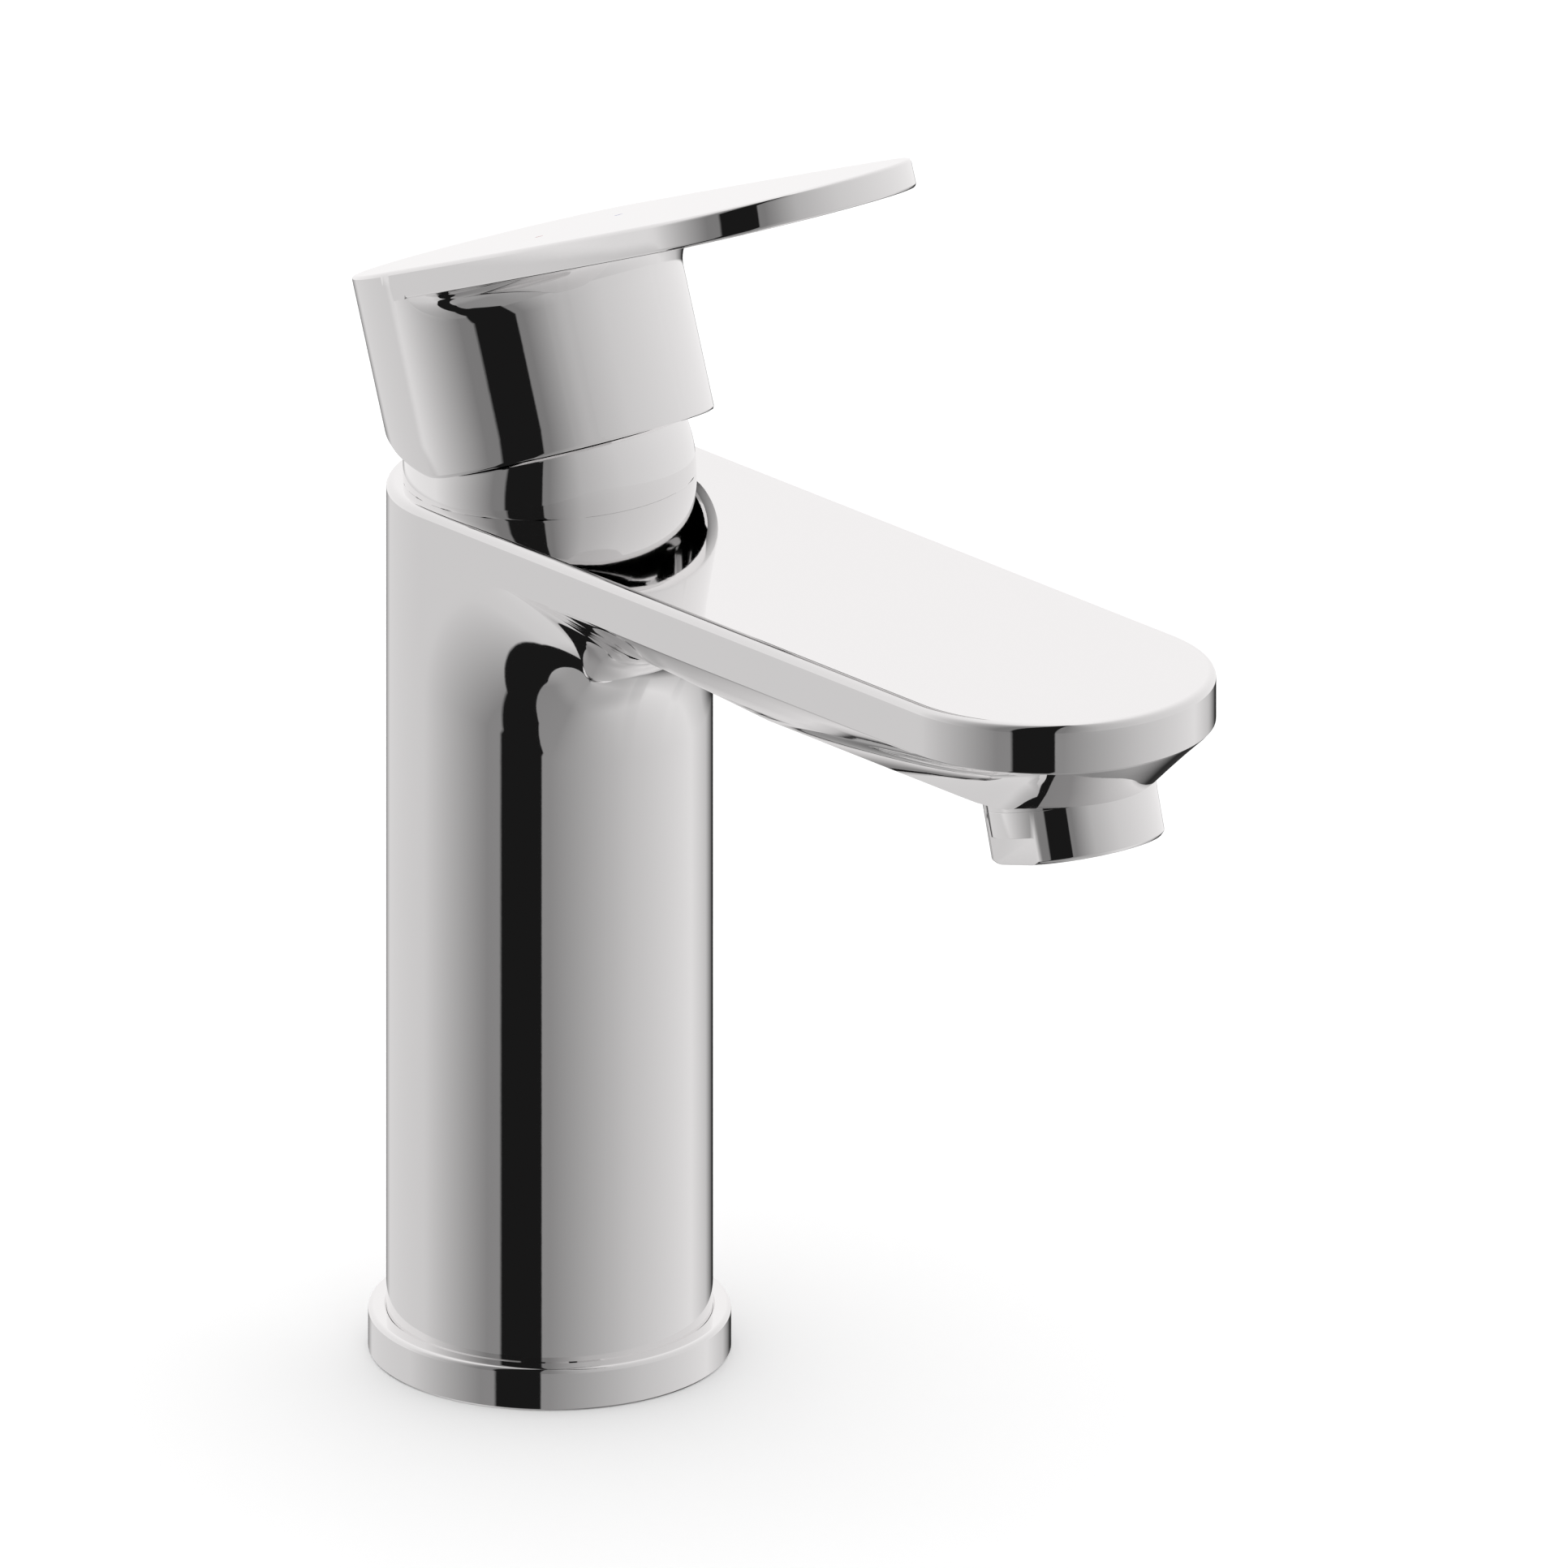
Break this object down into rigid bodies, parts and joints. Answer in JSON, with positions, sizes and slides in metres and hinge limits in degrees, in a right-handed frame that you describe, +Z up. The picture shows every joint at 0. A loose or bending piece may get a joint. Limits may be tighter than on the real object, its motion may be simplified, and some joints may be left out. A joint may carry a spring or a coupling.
{
  "type": "basin mixer faucet",
  "caption": "Single-lever basin mixer faucet: upright column, rising slab spout with rounded tip, tilted flat-plate lever on a round cap, and aerator outlet.",
  "frame": {"origin": "centre of the body's underside, where it stands on the basin deck", "axes": "+Z up along the column, -Y towards the spout's tip, +X to the right of a person at the spout"},
  "size_m": [0.05, 0.1688, 0.1941],
  "materials": {
    "body_chrome": "polished chrome plate on cast brass",
    "ring_chrome": "polished chrome plate",
    "dome_chrome": "polished chrome plate",
    "lever_chrome": "polished chrome plate on cast zinc",
    "plug_chrome": "chromed plug",
    "aerator_chrome": "polished chrome plate",
    "seal_rubber": "matt black rubber",
    "cartridge_plastic": "white moulded plastic",
    "carrier_plastic": "grey moulded plastic",
    "disc_ceramic": "lapped alumina",
    "steel": "stainless steel",
    "stem_brass": "machined brass",
    "nut_brass": "machined brass",
    "red_enamel": "red enamel",
    "blue_enamel": "blue enamel",
    "aerator_plastic": "light grey moulded plastic",
    "regulator_plastic": "blue moulded plastic",
    "screen_plastic": "grey moulded plastic"
  },
  "bodies": {
    "root": {"mixer_body": "body_chrome", "base_ring": "ring_chrome", "base_seal": "seal_rubber", "cartridge_base": "cartridge_plastic", "inlet_seals": "seal_rubber", "disc_seal": "seal_rubber", "fixed_disc": "disc_ceramic", "cartridge_housing": "cartridge_plastic", "housing_gasket": "seal_rubber", "cartridge_nut": "nut_brass", "dome_seal": "seal_rubber", "cartridge_dome": "dome_chrome", "aerator_housing": "aerator_chrome", "aerator_gasket": "seal_rubber", "aerator_insert": "aerator_plastic", "flow_regulator": "regulator_plastic", "aerator_screen": "screen_plastic"},
    "cartridge_swivel": {"swivel_carrier": "carrier_plastic", "pivot_pin": "steel"},
    "lever": {"stem": "stem_brass", "lever_handle": "lever_chrome", "handle_screw": "steel", "screw_plug": "plug_chrome", "hot_mark": "red_enamel", "cold_mark": "blue_enamel"},
    "mixing_disc": {"disc_carrier": "carrier_plastic", "moving_disc": "disc_ceramic"}
  },
  "joints": [
    {"name": "lever_swivel", "type": "hinge", "parent": "root", "child": "cartridge_swivel", "pos_m": [0, 0, 0.137], "axis": [0, 0, 1], "range_deg": [-50, 50]},
    {"name": "lever_lift", "type": "hinge", "parent": "cartridge_swivel", "child": "lever", "pos_m": [0, 0, 0.137], "axis": [-1, 0, 0], "range_deg": [-17.25, 7.75]},
    {"name": "disc_slide", "type": "slide", "parent": "cartridge_swivel", "child": "mixing_disc", "axis": [0, -1, 0], "range_m": [-0.0039, 0.0018]}
  ],
  "couplings": [
    {"joint": "disc_slide", "follows": "lever_lift", "m_per_rad": 0.0124}
  ]
}
